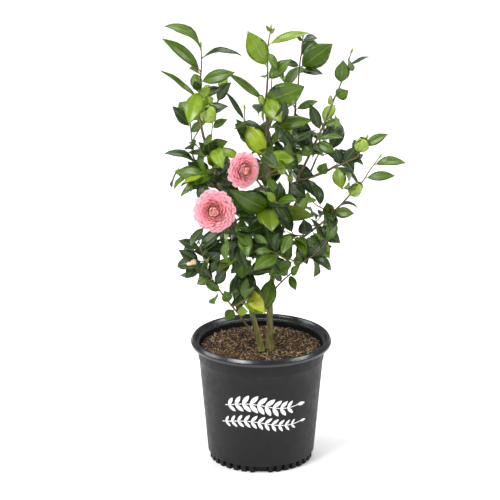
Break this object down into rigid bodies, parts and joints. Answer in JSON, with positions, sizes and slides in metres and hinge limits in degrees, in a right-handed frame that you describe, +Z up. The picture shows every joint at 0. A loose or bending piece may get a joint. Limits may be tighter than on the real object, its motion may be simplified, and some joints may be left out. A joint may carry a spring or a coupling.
{
  "type": "potted camellia shrub",
  "caption": "Open, upright camellia shrub with glossy leaves, round pink blooms and fat buds, on two stems in a round black nursery pot filled with bark mix.",
  "frame": {"origin": "centre of the pot's flat underside, on the surface that the pot stands on", "axes": "+Z up the pot's axis, -Y towards the shrub's front, which carries the open blooms, +X towards its broader side"},
  "size_m": [0.5029, 0.3338, 0.8964],
  "materials": {
    "black_plastic": "matt moulded, satin on the lip",
    "bark_mix": "loose composted bark, rough",
    "old_bark": "greenish brown, finely cracked",
    "young_bark": "smooth reddish tan",
    "deep_leaves": "glossy dark green leaf",
    "leaves": "glossy green leaf",
    "fresh_leaves": "glossy yellow green young leaf",
    "petals": "soft matt pink, paler at the edge",
    "buds": "satin yellow green scales",
    "white_print": "matt screen print"
  },
  "bodies": {
    "root": {"pot": "black_plastic", "growing_mix": "bark_mix", "main_stem": "old_bark", "left_stem": "old_bark", "centre_leader": "young_bark", "right_centre_leader": "young_bark", "right_leader": "young_bark", "right_side_bough": "young_bark", "right_low_bough": "young_bark", "right_foot_twig": "young_bark", "left_leader": "young_bark", "left_side_bough": "young_bark", "left_foot_bough": "young_bark", "front_left_bough": "young_bark", "front_centre_bough": "young_bark", "back_left_bough": "young_bark", "back_centre_bough": "young_bark", "back_right_bough": "young_bark", "left_leader_top": "leaves", "centre_leader_top": "fresh_leaves", "right_centre_leader_top": "leaves", "right_leader_top": "leaves", "left_shoulder": "deep_leaves", "left_side_top": "leaves", "left_tip": "deep_leaves", "front_left_spray": "deep_leaves", "left_foot_spray": "deep_leaves", "foot_spray": "leaves", "centre_spray": "fresh_leaves", "front_low_spray": "leaves", "right_shoulder": "leaves", "right_tip": "leaves", "right_middle_spray": "deep_leaves", "right_low_spray": "leaves", "right_inner_spray": "deep_leaves", "right_foot_spray": "leaves", "back_left_spray": "deep_leaves", "back_left_top": "leaves", "back_centre_top": "leaves", "back_centre_spray": "deep_leaves", "back_low_spray": "deep_leaves", "back_right_spray": "leaves", "back_right_low": "deep_leaves"}
  },
  "joints": []
}
